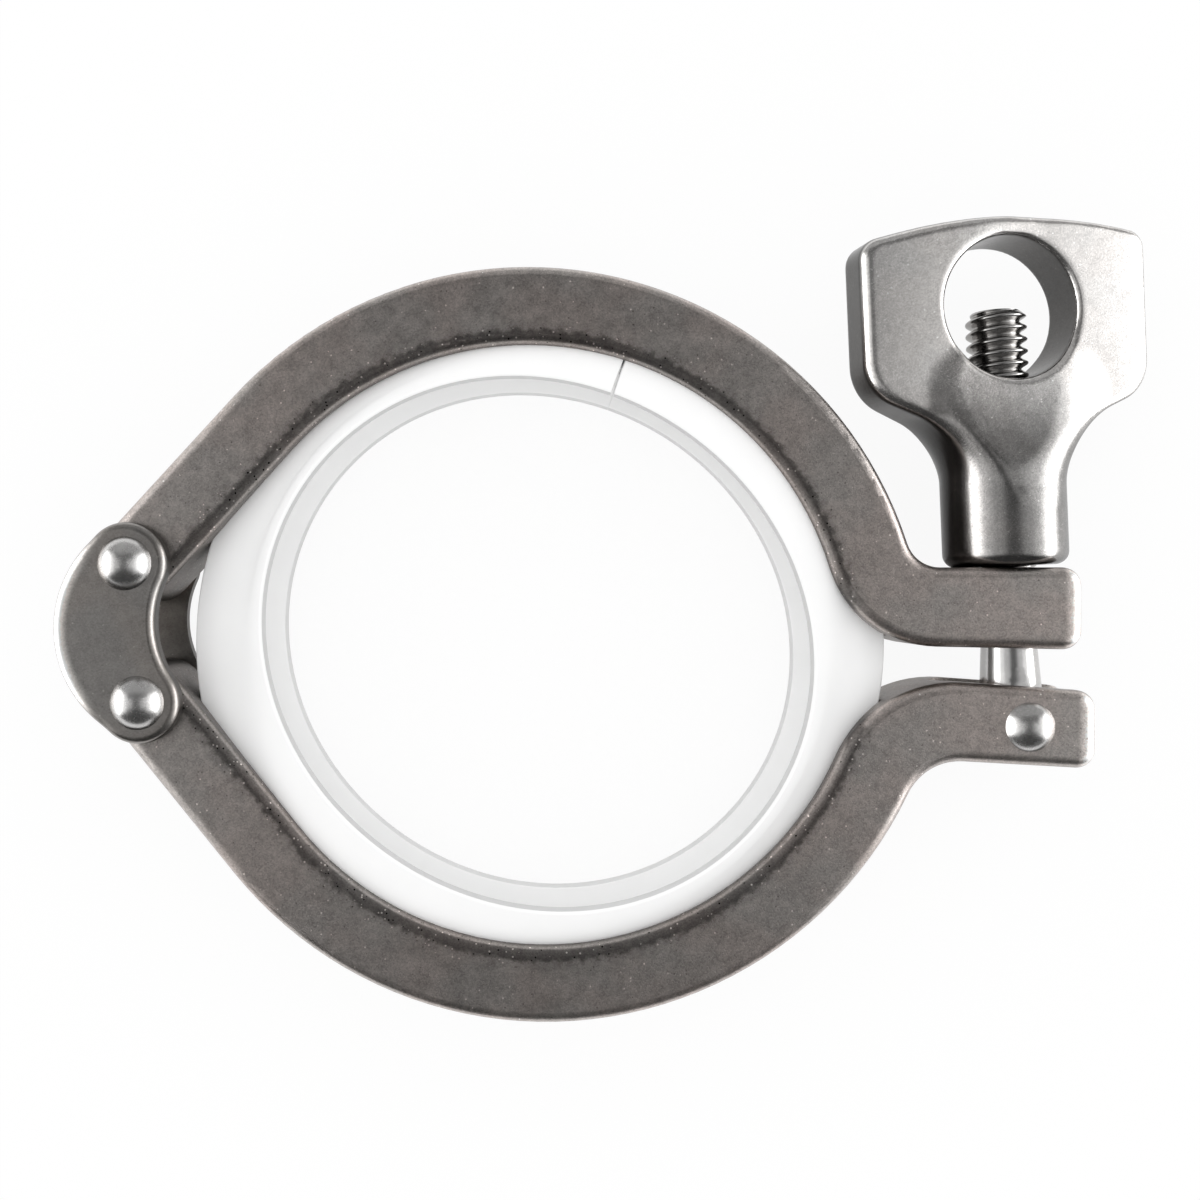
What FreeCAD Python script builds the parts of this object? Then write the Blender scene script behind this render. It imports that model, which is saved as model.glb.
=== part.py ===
"""Clamp swivel joint, drawn lying flat and closed, in millimetres.

Two cast stainless halves are joined by a pair of link plates on domed rivets. A swing bolt turns on a
pin in the lower jaw and carries a large wing nut with a round hole. A split white plastic ring turns in
the V groove of the halves and holds the smaller pair of ferrules in a V groove of its own.

The origin is the centre of the ring's bore, +Z runs along the bore, +X points from the hinge to the jaws.
"""
import FreeCAD, Part
import math
import os

Z_AXIS = FreeCAD.Vector(0, 0, 1)
ORIGIN = FreeCAD.Vector(0, 0, 0)

# Swivel ring
RING_OUTER_R = 45.5
RING_EDGE_HALF = 3.2
RING_KINK_R = 38.0
RING_KINK_ROUND = 8.0
RING_LIP_R = 35.5
RING_HALF_WIDTH = 8.2
RING_BORE_R = 35.0
RING_BORE_HALF = 7.9
FLANK_SLOPE = math.tan(math.radians(20.0))
SEAT_R = 39.0
SEAT_MOUTH_HALF = 5.1
SPLIT_ANGLE = 73.4
SPLIT_WIDTH = 0.4

# Cast halves
BODY_THICKNESS = 15.0
BODY_EDGE_ROUND = 1.5
GROOVE_CLEARANCE = 0.25
LUG_R = 5.05
JAW_CORNER_R = 2.4

# Hinge
UPPER_RIVET = (-53.0, 10.4)
LOWER_RIVET = (-51.4, -7.4)
RIVET_R = 2.5
RIVET_HEAD_R = 3.45
RIVET_HEAD_HEIGHT = 2.2
RUNNING_CLEARANCE = 0.06
LINK_GAP = 0.1
LINK_THICKNESS = 2.5
LINK_LOBE_R = 5.3
LINK_BACK_CENTRE = (-46.8, 2.1)
LINK_BACK_R = 15.5
LINK_SHOULDER_R = 20.0
LINK_WAIST_R = 13.0
LINK_EDGE_ROUND = 1.0

# Swing bolt and its pin
PIN_CENTRE = (63.4, -10.7)
PIN_R = 2.5
PIN_HEAD_R = 3.2
PIN_HEAD_HEIGHT = 1.7
BOLT_LEAN = 2.3
BOLT_EYE_R = 5.0
BOLT_EYE_WIDTH = 7.6
BOLT_SHANK_R = 3.65
BOLT_NECK_R = 4.3
BOLT_NECK_TOP = 10.0
THREAD_R = 3.97
THREAD_START = 14.0
BOLT_LENGTH = 55.0
THREAD_CHAMFER = 0.8
SLOT_WIDTH = 9.2
LOWER_SLOT_BACK = 6.2

# Wing nut, measured upwards from its foot, which touches the level jaw with its left rim
NUT_SEAT = 20.93
NUT_TURN = 9.5
NUT_BARREL_R = 8.15
NUT_FOOT_ROUND = 1.8
NUT_RIGHT_FLARE = (8.6, 18.5)
NUT_RIGHT_FOOT = (20.3, 23.3)
NUT_RIGHT_SHOULDER = (19.7, 43.0)
NUT_APEX = (0.4, 47.9)
NUT_LEFT_SHOULDER = (-19.9, 42.8)
NUT_LEFT_FOOT = (-19.3, 23.3)
NUT_LEFT_FLARE = (-8.6, 18.6)
NUT_FLARE_R = 8.5
NUT_WING_FOOT_R = 5.5
NUT_CORNER_R = 3.0
NUT_CROWN_R = 66.0
NUT_KEEL_FOOT = 11.5
NUT_KEEL_TOP = 20.0
NUT_HOLE_AT = (0.4, 34.1)
NUT_HOLE_R = 9.3
NUT_TAPER_START = 12.0
NUT_TAPER_END = 27.0
NUT_PLATE_HALF = 5.0
NUT_TIP_HALF = 3.4
NUT_TIP_REACH = 21.5

# One cast half in the position of the upper one; the lower one is drawn upside down and mirrored
UPPER_HALF = dict(
    centre=(-1.6, -2.85), outer_r=51.9, lip_centre=(-1.8, -2.5), lip_r=41.4, rivet=UPPER_RIVET,
    jaw_outer=(62.0, 9.95), outer_lean=0.0, jaw_inner=(62.0, -0.6), inner_lean=-1.2,
    jaw_end=70.4, outer_blend=4.5, inner_blend=15.0,
)
LOWER_HALF = dict(
    centre=(0.8, -3.0), outer_r=52.2, lip_centre=(0.8, -2.3), lip_r=41.5,
    rivet=(LOWER_RIVET[0], -LOWER_RIVET[1]),
    jaw_outer=(62.0, 15.7), outer_lean=3.2, jaw_inner=(62.0, 5.5), inner_lean=4.0,
    jaw_end=72.15, outer_blend=7.5, inner_blend=17.0,
)


def point(x, y, z=0.0):
    return FreeCAD.Vector(x, y, z)


def direction(degrees):
    """Unit vector in the XY plane."""
    angle = math.radians(degrees)
    return point(math.cos(angle), math.sin(angle))


def line(start, end):
    return Part.LineSegment(start, end).toShape()


def arc(start, middle, end):
    return Part.Arc(start, middle, end).toShape()


def arc_about(centre, start, end, toward):
    """Arc round a centre from start to end, on the side that the vector toward points to."""
    radius = (start - centre).Length
    middle = (start + end) * 0.5 - centre
    if middle.Length < 1e-6 or middle.dot(toward) < 0:
        middle = toward - (end - start) * (toward.dot(end - start) / (end - start).dot(end - start))
    middle.normalize()
    return arc(start, centre + middle * radius, end)


def meet(first, first_way, second, second_way):
    """Crossing point of two lines, each given by a point and a direction."""
    cross = first_way.x * second_way.y - first_way.y * second_way.x
    gap = second - first
    share = (gap.x * second_way.y - gap.y * second_way.x) / cross
    return first + first_way * share


def circles_meet(first, first_r, second, second_r, toward):
    """The crossing of two circles that lies furthest along the vector toward."""
    way = second - first
    span = way.Length
    along = (first_r ** 2 - second_r ** 2 + span ** 2) / (2 * span)
    across = math.sqrt(first_r ** 2 - along ** 2)
    way.normalize()
    side = point(-way.y, way.x)
    base = first + way * along
    ends = (base + side * across, base - side * across)
    return max(ends, key=lambda end: end.dot(toward))


def rounded_face(corners):
    """Face of a polygon whose corners are (x, y, radius); a radius of 0 stays sharp."""
    edges = []
    first = None
    last = None
    count = len(corners)
    for index, (x, y, radius) in enumerate(corners):
        corner = point(x, y)
        before = point(*corners[index - 1][:2]) - corner
        after = point(*corners[(index + 1) % count][:2]) - corner
        before.normalize()
        after.normalize()
        half = math.acos(max(-1.0, min(1.0, before.dot(after)))) / 2
        reach = radius / math.tan(half) if radius else 0.0
        start = corner + before * reach
        end = corner + after * reach
        if last is not None:
            edges.append(line(last, start))
        else:
            first = start
        if radius:
            inward = before + after
            inward.normalize()
            middle = corner + inward * (radius / math.sin(half) - radius)
            edges.append(arc(start, middle, end))
        last = end
    edges.append(line(last, first))
    return Part.Face(Part.Wire(edges))


def turned(face_in_xy):
    """Solid of revolution about Z of a face drawn with X as radius and Y as height."""
    upright = face_in_xy.copy()
    upright.rotate(ORIGIN, point(1, 0, 0), 90)
    return upright.revolve(ORIGIN, Z_AXIS, 360)


def domed_rivet(shaft_r, half_length, head_r, head_height):
    """Round shaft along Z with a spherical dome on each end."""
    ball_r = (head_r ** 2 + head_height ** 2) / (2 * head_height)
    shaft = Part.makeCylinder(shaft_r, 2 * half_length, point(0, 0, -half_length))
    cut = Part.makeCylinder(head_r + 1, head_height, point(0, 0, half_length))
    top = Part.makeSphere(ball_r, point(0, 0, half_length + head_height - ball_r)).common(cut)
    bottom = top.mirror(ORIGIN, Z_AXIS)
    return shaft.fuse([top, bottom]).removeSplitter()


def on_bolt(shape):
    """Move a shape drawn along +Y from the pin to its place on the leaning bolt."""
    placed = shape.copy()
    placed.rotate(ORIGIN, Z_AXIS, BOLT_LEAN)
    placed.translate(point(*PIN_CENTRE))
    return placed


def half_outline(half):
    """Closed outline of a cast half: lug, straight arm, round part and jaw."""
    centre = point(*half["centre"])
    lip_centre = point(*half["lip_centre"])
    rivet = point(*half["rivet"])
    outward = tangent_way(rivet - centre, half["outer_r"] - LUG_R)
    lip_outward = tangent_way(rivet - lip_centre, half["lip_r"] + LUG_R)
    arm_start = centre + outward * half["outer_r"]
    lug_start = rivet + outward * LUG_R
    lug_end = rivet - lip_outward * LUG_R
    lip_start = lip_centre + lip_outward * half["lip_r"]
    lug_tip = point(-outward.y, outward.x)

    jaw_in = point(*half["jaw_inner"])
    jaw_in_way = direction(half["inner_lean"])
    jaw_out = point(*half["jaw_outer"])
    jaw_out_way = direction(half["outer_lean"])

    blend_in = half["inner_blend"]
    ball = tangent_centre(lip_centre, half["lip_r"] + blend_in, jaw_in, jaw_in_way, blend_in)
    lip_end = lip_centre + (ball - lip_centre) * (half["lip_r"] / (half["lip_r"] + blend_in))
    jaw_in_start = foot_on(jaw_in, jaw_in_way, ball)

    blend_out = half["outer_blend"]
    hollow = tangent_centre(centre, half["outer_r"] + blend_out, jaw_out, jaw_out_way, blend_out)
    arc_end = centre + (hollow - centre) * (half["outer_r"] / (half["outer_r"] + blend_out))
    jaw_out_start = foot_on(jaw_out, jaw_out_way, hollow)

    end = point(half["jaw_end"], 0)
    low = meet(jaw_in, jaw_in_way, end, point(0, 1))
    high = meet(jaw_out, jaw_out_way, end, point(0, 1))
    low_arc = corner_arc(jaw_in_start, low, high)
    high_arc = corner_arc(low, high, jaw_out_start)

    edges = [
        line(arm_start, lug_start),
        arc(lug_start, rivet + lug_tip * LUG_R, lug_end),
        line(lug_end, lip_start),
        arc_about(lip_centre, lip_start, lip_end, point(0, 1)),
        arc_about(ball, lip_end, jaw_in_start, point(-1, -1)),
        line(jaw_in_start, low_arc[0]),
        arc(*low_arc),
        line(low_arc[2], high_arc[0]),
        arc(*high_arc),
        line(high_arc[2], jaw_out_start),
        arc_about(hollow, jaw_out_start, arc_end, point(-1, -1)),
        arc_about(centre, arc_end, arm_start, point(0, 1)),
    ]
    return Part.Face(Part.Wire(edges))


def tangent_way(arm, reach):
    """Direction square to a straight flank that runs at a given distance from the base of an arm to its end."""
    swing = math.degrees(math.acos(reach / arm.Length))
    return direction(math.degrees(math.atan2(arm.y, arm.x)) - swing)


def tangent_centre(centre, reach, on_line, way, radius):
    """Centre of a circle that lies a radius above a line and at a given reach from another centre."""
    above = on_line + point(-way.y, way.x) * radius
    near = foot_on(above, way, centre)
    along = math.sqrt(reach ** 2 - (centre - near).Length ** 2)
    return near + way * along


def foot_on(on_line, way, target):
    """Foot of the perpendicular from a point to a line."""
    return on_line + way * (target - on_line).dot(way)


def corner_arc(before, corner, after):
    """Start, middle and end of the arc that rounds a jaw corner."""
    back = before - corner
    ahead = after - corner
    back.normalize()
    ahead.normalize()
    half = math.acos(back.dot(ahead)) / 2
    reach = JAW_CORNER_R / math.tan(half)
    inward = back + ahead
    inward.normalize()
    middle = corner + inward * (JAW_CORNER_R / math.sin(half) - JAW_CORNER_R)
    return corner + back * reach, middle, corner + ahead * reach


def groove_tool():
    """The space that the ring turns in: its own flanks, widened by the clearance."""
    root_r = RING_OUTER_R + GROOVE_CLEARANCE
    root_half = RING_EDGE_HALF + GROOVE_CLEARANCE
    inner_r = 25.0
    inner_half = root_half + (root_r - inner_r) * FLANK_SLOPE
    corners = [
        (inner_r, -inner_half, 0),
        (root_r, -root_half, 0.5),
        (root_r, root_half, 0.5),
        (inner_r, inner_half, 0),
    ]
    return turned(rounded_face(corners))


def cast_half(half):
    """Half as cast: outline with rounded edges, rivet hole and ring groove."""
    thickness = BODY_THICKNESS
    blank = half_outline(half).extrude(point(0, 0, thickness))
    blank.translate(point(0, 0, -thickness / 2))
    rims = [edge for edge in blank.Edges if abs(abs(edge.CenterOfMass.z) - thickness / 2) < 1e-6]
    blank = blank.makeFillet(BODY_EDGE_ROUND, rims)
    hole_r = RIVET_R + RUNNING_CLEARANCE
    hole = Part.makeCylinder(hole_r, thickness + 2, point(*half["rivet"], -thickness / 2 - 1))
    return blank.cut([hole, groove_tool()])


def jaw_slot(closed_end):
    """Slot for the bolt, open at the jaw's tip; closed_end is its distance behind the bolt's axis."""
    length = 40.0
    height = 60.0
    radius = SLOT_WIDTH / 2
    centre = radius - closed_end
    back = Part.makeCylinder(radius, height, point(centre, -height / 2, 0), point(0, 1, 0))
    open_part = Part.makeBox(length, height, SLOT_WIDTH, point(centre, -height / 2, -radius))
    return on_bolt(back.fuse(open_part))


def upper_half():
    return cast_half(UPPER_HALF).cut(jaw_slot(SLOT_WIDTH / 2))


def lower_half():
    casting = cast_half(LOWER_HALF).mirror(ORIGIN, point(0, 1, 0))
    pin_hole = Part.makeCylinder(PIN_R, BODY_THICKNESS + 2, point(*PIN_CENTRE, -BODY_THICKNESS / 2 - 1))
    return casting.cut([jaw_slot(SLOT_WIDTH / 2 + LOWER_SLOT_BACK), pin_hole])


def link_outline():
    """Kidney outline: a lobe round each rivet, a round back and a hollow waist towards the ring."""
    upper = point(*UPPER_RIVET)
    lower = point(*LOWER_RIVET)
    back = point(*LINK_BACK_CENTRE)
    shoulder = LINK_SHOULDER_R
    top = circles_meet(back, LINK_BACK_R + shoulder, upper, LINK_LOBE_R + shoulder, point(-1, 1))
    foot = circles_meet(back, LINK_BACK_R + shoulder, lower, LINK_LOBE_R + shoulder, point(-1, -1))
    waist = circles_meet(upper, LINK_LOBE_R + LINK_WAIST_R, lower, LINK_LOBE_R + LINK_WAIST_R, point(1, 0))

    def touch(centre, radius, other):
        way = other - centre
        way.normalize()
        return centre + way * radius

    back_top = touch(back, LINK_BACK_R, top)
    back_foot = touch(back, LINK_BACK_R, foot)
    upper_out = touch(upper, LINK_LOBE_R, top)
    upper_in = touch(upper, LINK_LOBE_R, waist)
    lower_in = touch(lower, LINK_LOBE_R, waist)
    lower_out = touch(lower, LINK_LOBE_R, foot)
    edges = [
        arc_about(back, back_foot, back_top, point(-1, 0)),
        arc_about(top, back_top, upper_out, point(1, -1)),
        arc_about(upper, upper_out, upper_in, point(1, 1)),
        arc_about(waist, upper_in, lower_in, point(-1, 0)),
        arc_about(lower, lower_in, lower_out, point(1, -1)),
        arc_about(foot, lower_out, back_foot, point(1, 1)),
    ]
    return Part.Face(Part.Wire(edges))


def front_link():
    near = BODY_THICKNESS / 2 + LINK_GAP
    plate = link_outline().extrude(point(0, 0, LINK_THICKNESS))
    plate.translate(point(0, 0, near))
    far = near + LINK_THICKNESS
    rims = [edge for edge in plate.Edges if abs(edge.CenterOfMass.z - far) < 1e-6]
    plate = plate.makeFillet(LINK_EDGE_ROUND, rims)
    holes = []
    for centre in (UPPER_RIVET, LOWER_RIVET):
        holes.append(Part.makeCylinder(RIVET_R, LINK_THICKNESS + 2, point(*centre, near - 1)))
    return plate.cut(holes)


def back_link():
    return front_link().mirror(ORIGIN, Z_AXIS)


def hinge_rivet(centre):
    half_length = BODY_THICKNESS / 2 + LINK_GAP + LINK_THICKNESS
    rivet = domed_rivet(RIVET_R, half_length, RIVET_HEAD_R, RIVET_HEAD_HEIGHT)
    rivet.translate(point(*centre))
    return rivet


def bolt_pin():
    pin = domed_rivet(PIN_R, BODY_THICKNESS / 2, PIN_HEAD_R, PIN_HEAD_HEIGHT)
    pin.translate(point(*PIN_CENTRE))
    return pin


def swing_bolt():
    """Bolt with a flat eye round the pin, a plain shank and a threaded end."""
    up = point(0, 1, 0)
    half_eye = BOLT_EYE_WIDTH / 2
    eye = Part.makeCylinder(BOLT_EYE_R, BOLT_EYE_WIDTH, point(0, 0, -half_eye))
    neck = Part.makeCone(BOLT_NECK_R, BOLT_SHANK_R, BOLT_NECK_TOP, ORIGIN, up)
    slab = Part.makeBox(20, 20, BOLT_EYE_WIDTH, point(-10, -5, -half_eye))
    shank = Part.makeCylinder(BOLT_SHANK_R, THREAD_START - BOLT_NECK_TOP, point(0, BOLT_NECK_TOP, 0), up)
    thread_length = BOLT_LENGTH - THREAD_START - THREAD_CHAMFER
    thread = Part.makeCylinder(THREAD_R, thread_length, point(0, THREAD_START, 0), up)
    tip_at = point(0, BOLT_LENGTH - THREAD_CHAMFER, 0)
    tip = Part.makeCone(THREAD_R, THREAD_R - THREAD_CHAMFER, THREAD_CHAMFER, tip_at, up)
    solid = eye.fuse([neck.common(slab), shank, thread, tip]).removeSplitter()
    hole = Part.makeCylinder(PIN_R + RUNNING_CLEARANCE, BOLT_EYE_WIDTH + 2, point(0, 0, -half_eye - 1))
    return on_bolt(solid.cut(hole))


def nut_front_outline():
    """Front view of both wings, down to where they flare into the barrel."""
    return rounded_face([
        (NUT_BARREL_R, NUT_TAPER_START, 0),
        (*NUT_RIGHT_FLARE, NUT_FLARE_R),
        (*NUT_RIGHT_FOOT, NUT_WING_FOOT_R),
        (*NUT_RIGHT_SHOULDER, NUT_CORNER_R),
        (*NUT_APEX, NUT_CROWN_R),
        (*NUT_LEFT_SHOULDER, NUT_CORNER_R),
        (*NUT_LEFT_FOOT, NUT_WING_FOOT_R),
        (*NUT_LEFT_FLARE, NUT_FLARE_R),
        (-NUT_BARREL_R, NUT_TAPER_START, 0),
    ])


def nut_side_outline():
    """Side view: full barrel below, tapering to the plate thickness of the wings."""
    barrel = NUT_BARREL_R + 0.05
    right = [
        (barrel, -1.0, 0),
        (barrel, NUT_TAPER_START, 9.0),
        (NUT_PLATE_HALF, NUT_TAPER_END, 14.0),
        (NUT_PLATE_HALF - 0.5, NUT_APEX[1] + 2.0, 0),
    ]
    left = [(-x, y, radius) for x, y, radius in reversed(right)]
    return rounded_face(right + left)


def nut_keel_outline():
    """Side view of the wings alone: they thin to an edge where they run out into the barrel."""
    half = NUT_PLATE_HALF + 1.0
    right = [
        (half, NUT_KEEL_TOP, 5.0),
        (half, NUT_APEX[1] + 2.0, 0),
    ]
    left = [(-x, y, radius) for x, y, radius in reversed(right)]
    return rounded_face([(0, NUT_KEEL_FOOT, 0)] + right + left)


def nut_plan_outline():
    """Plan of the wings: thick at the middle, thinner at the tips."""
    tip = NUT_TIP_REACH
    edges = []
    for side in (1, -1):
        start = point(-tip * side, NUT_TIP_HALF * side)
        middle = point(0, (NUT_PLATE_HALF + 0.6) * side)
        end = point(tip * side, NUT_TIP_HALF * side)
        edges.append(arc(start, middle, end))
        edges.append(line(end, point(tip * side, -NUT_TIP_HALF * side)))
    return Part.Face(Part.Wire(edges))


def across_wings(side_face):
    """Prism through both wings of a face drawn as the nut's side view."""
    reach = NUT_TIP_REACH
    face = side_face.copy()
    face.rotate(ORIGIN, point(0, 1, 0), 90)
    prism = face.extrude(point(2 * reach, 0, 0))
    prism.translate(point(-reach, 0, 0))
    return prism


def wing_nut():
    """Cast wing nut: round barrel, two broad wings, a large hole above the bore."""
    reach = 30.0
    height = NUT_APEX[1] + 4.0
    up = point(0, 1, 0)
    front = nut_front_outline().extrude(point(0, 0, 2 * reach))
    front.translate(point(0, 0, -reach))
    plan = nut_plan_outline()
    plan.rotate(ORIGIN, point(1, 0, 0), -90)
    plan = plan.extrude(point(0, height, 0))
    side = across_wings(nut_side_outline())
    keel = across_wings(nut_keel_outline())
    barrel = Part.makeCylinder(NUT_BARREL_R, NUT_TAPER_END - 2.0, ORIGIN, up)
    foot = [edge for edge in barrel.Edges if abs(edge.CenterOfMass.y) < 1e-6]
    barrel = barrel.makeFillet(NUT_FOOT_ROUND, foot)
    wings = front.common(plan).common(keel)
    solid = barrel.fuse(wings).common(side).removeSplitter()
    hole = Part.makeCylinder(NUT_HOLE_R, 2 * reach, point(*NUT_HOLE_AT, -reach))
    bore = Part.makeCylinder(THREAD_R + RUNNING_CLEARANCE, NUT_HOLE_AT[1], point(0, -1, 0), up)
    solid = solid.cut([hole, bore])
    solid.rotate(ORIGIN, up, NUT_TURN)
    solid.translate(point(0, NUT_SEAT, 0))
    return on_bolt(solid)


def swivel_ring():
    """Split plastic ring: outer flanks for the clamp's groove, inner V groove for the ferrules."""
    seat_half = SEAT_MOUTH_HALF - (SEAT_R - RING_BORE_R) * FLANK_SLOPE
    kink_half = RING_EDGE_HALF + (RING_OUTER_R - RING_KINK_R) * FLANK_SLOPE
    upper = [
        (RING_OUTER_R, RING_EDGE_HALF, 0),
        (RING_KINK_R, kink_half, RING_KINK_ROUND),
        (RING_LIP_R, RING_HALF_WIDTH, 0),
        (RING_BORE_R, RING_BORE_HALF, 0),
        (RING_BORE_R, SEAT_MOUTH_HALF, 0),
        (SEAT_R, seat_half, 0),
    ]
    lower = [(r, -z, radius) for r, z, radius in reversed(upper)]
    ring = turned(rounded_face(upper + lower))
    depth = 40.0
    cut = Part.makeBox(30.0, SPLIT_WIDTH, depth, point(RING_BORE_R - 10, -SPLIT_WIDTH / 2, -depth / 2))
    cut.rotate(ORIGIN, Z_AXIS, SPLIT_ANGLE)
    return ring.cut(cut)


def build():
    return {
        "upper_half": upper_half(),
        "lower_half": lower_half(),
        "front_link": front_link(),
        "back_link": back_link(),
        "upper_rivet": hinge_rivet(UPPER_RIVET),
        "lower_rivet": hinge_rivet(LOWER_RIVET),
        "bolt_pin": bolt_pin(),
        "swing_bolt": swing_bolt(),
        "wing_nut": wing_nut(),
        "swivel_ring": swivel_ring(),
    }


def main():
    os.makedirs("parts", exist_ok=True)
    for name, shape in build().items():
        shape.exportStep("parts/" + name + ".step")
        box = shape.BoundBox
        print(name, shape.isValid(), len(shape.Solids), round(shape.Volume, 1),
              [round(v, 2) for v in (box.XMin, box.XMax, box.YMin, box.YMax, box.ZMin, box.ZMax)])


if __name__ == "__main__":
    main()
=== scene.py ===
"""Looks of the clamp swivel joint: finer pieces where the solids are plain, materials, light and camera.

Lengths are millimetres in the part's own frame, and MM turns them to metres where Blender takes them.
"""
import bmesh
import bpy
import math
import numpy as np
from mathutils import Matrix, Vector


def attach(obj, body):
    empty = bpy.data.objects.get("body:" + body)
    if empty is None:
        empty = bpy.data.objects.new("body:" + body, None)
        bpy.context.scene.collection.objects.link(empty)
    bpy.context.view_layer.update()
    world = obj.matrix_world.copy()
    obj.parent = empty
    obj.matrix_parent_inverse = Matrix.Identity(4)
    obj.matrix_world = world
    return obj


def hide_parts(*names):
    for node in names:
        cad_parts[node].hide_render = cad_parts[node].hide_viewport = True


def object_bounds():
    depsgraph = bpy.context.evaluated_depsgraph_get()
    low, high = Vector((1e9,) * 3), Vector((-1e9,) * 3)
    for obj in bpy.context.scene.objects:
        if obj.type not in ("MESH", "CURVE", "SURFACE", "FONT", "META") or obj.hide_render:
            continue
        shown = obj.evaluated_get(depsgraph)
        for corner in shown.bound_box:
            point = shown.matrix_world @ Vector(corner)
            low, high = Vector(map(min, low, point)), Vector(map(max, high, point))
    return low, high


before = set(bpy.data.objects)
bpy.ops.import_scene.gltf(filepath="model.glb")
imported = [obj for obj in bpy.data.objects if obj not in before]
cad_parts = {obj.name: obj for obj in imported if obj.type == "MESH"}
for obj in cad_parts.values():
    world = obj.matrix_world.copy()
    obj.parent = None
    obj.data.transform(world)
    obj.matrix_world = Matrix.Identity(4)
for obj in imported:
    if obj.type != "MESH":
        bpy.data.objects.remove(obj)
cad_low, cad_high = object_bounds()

MM = 0.001

# Camera: the lens stands over the ring, a little above its centre in the picture
LENS_FOOT_Y = 7.0
LENS_HEIGHT = 195.0
PIXELS_PER_MM = 7.44
FRAME_PIXELS = 1200.0
AXIS_PIXEL = (540.0, 590.0)
SENSOR = 36.0
CLIP_METRES = (0.01, 20.0)


def make_camera():
    data = bpy.data.cameras.new("camera")
    data.sensor_width = SENSOR
    data.lens = SENSOR * PIXELS_PER_MM * LENS_HEIGHT / FRAME_PIXELS
    data.shift_x = (FRAME_PIXELS / 2 - AXIS_PIXEL[0]) / FRAME_PIXELS
    data.shift_y = (AXIS_PIXEL[1] - FRAME_PIXELS / 2) / FRAME_PIXELS
    data.clip_start, data.clip_end = CLIP_METRES
    camera = bpy.data.objects.new("camera", data)
    camera.location = (0.0, LENS_FOOT_Y * MM, LENS_HEIGHT * MM)
    bpy.context.scene.collection.objects.link(camera)
    bpy.context.scene.camera = camera


class Nodes:
    """Short hand for building a node tree."""

    def __init__(self, tree):
        self.tree = tree
        self.tree.nodes.clear()

    def add(self, kind, **values):
        node = self.tree.nodes.new(kind)
        for key, value in values.items():
            setattr(node, key, value)
        return node

    def put(self, socket, value):
        """Links a socket to another one, or sets its value."""
        if isinstance(value, bpy.types.NodeSocket):
            self.tree.links.new(value, socket)
        else:
            socket.default_value = value

    def math(self, operation, first, second=0.0, third=0.0):
        node = self.add("ShaderNodeMath", operation=operation)
        for socket, value in zip(node.inputs, (first, second, third)):
            self.put(socket, value)
        return node.outputs[0]

    def times(self, first, second):
        return self.math("MULTIPLY", first, second)

    def minus(self, first, second):
        return self.math("SUBTRACT", first, second)

    def scaled(self, value, gain, shift):
        return self.math("MULTIPLY_ADD", value, gain, shift)

    def ramp(self, value, low, high, out_low=0.0, out_high=1.0):
        """Smooth step of a value from low to high."""
        node = self.add("ShaderNodeMapRange", interpolation_type="SMOOTHSTEP")
        self.put(node.inputs["Value"], value)
        self.put(node.inputs["From Min"], low)
        self.put(node.inputs["From Max"], high)
        self.put(node.inputs["To Min"], out_low)
        self.put(node.inputs["To Max"], out_high)
        return node.outputs[0]

    def mix(self, share, first, second):
        """Mix of two colours, whose sockets are numbers 6 and 7 of the node."""
        node = self.add("ShaderNodeMix", data_type="RGBA")
        self.put(node.inputs[0], share)
        self.put(node.inputs[6], first)
        self.put(node.inputs[7], second)
        return node.outputs[2]

    def split(self, vector):
        """The x, y and z of a vector."""
        node = self.add("ShaderNodeSeparateXYZ")
        self.put(node.inputs[0], vector)
        return node.outputs

    def scale_colour(self, colour, tone):
        node = self.add("ShaderNodeVectorMath", operation="SCALE")
        self.put(node.inputs[0], colour)
        self.put(node.inputs["Scale"], tone)
        return node.outputs[0]

    def own_place(self):
        """Position in the piece's own frame, in metres."""
        return self.add("ShaderNodeTexCoord").outputs["Object"]

    def level(self):
        """1 on faces that lie level, 0 on upright walls."""
        return self.math("ABSOLUTE", self.split(self.add("ShaderNodeNewGeometry").outputs["Normal"])[2])

    def noise(self, where, scale, detail):
        node = self.add("ShaderNodeTexNoise")
        self.put(node.inputs["Vector"], where)
        self.put(node.inputs["Scale"], scale)
        self.put(node.inputs["Detail"], detail)
        return node.outputs[0]

    def cells(self, where, scale):
        """Distance to the nearest cell's centre, and the red, green and blue of the cell's random colour."""
        node = self.add("ShaderNodeTexVoronoi")
        self.put(node.inputs["Vector"], where)
        self.put(node.inputs["Scale"], scale)
        parts = self.add("ShaderNodeSeparateColor")
        self.put(parts.inputs[0], node.outputs["Color"])
        return node.outputs["Distance"], parts.outputs

    def from_centre(self, place, centre_x, centre_y):
        """Steps across and up from a centre line along Z, and the distance to it, in metres."""
        across = self.minus(place[0], centre_x * MM)
        upward = self.minus(place[1], centre_y * MM)
        squares = self.math("ADD", self.times(across, across), self.times(upward, upward))
        return across, upward, self.math("SQRT", squares)

    def bump(self, height, strength, depth):
        node = self.add("ShaderNodeBump")
        self.put(node.inputs["Strength"], strength)
        self.put(node.inputs["Distance"], depth * MM)
        self.put(node.inputs["Height"], height)
        return node.outputs[0]

    def shader(self, kind, sockets):
        """A shader with some of its sockets set by name."""
        node = self.add(kind)
        for name, value in sockets.items():
            self.put(node.inputs[name], value)
        return node.outputs[0]

    def finish(self, shader, kind="ShaderNodeOutputMaterial"):
        self.put(self.add(kind).inputs["Surface"], shader)


def new_material(name):
    material = bpy.data.materials.new(name)
    material.use_nodes = True
    return material, Nodes(material.node_tree)


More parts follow.
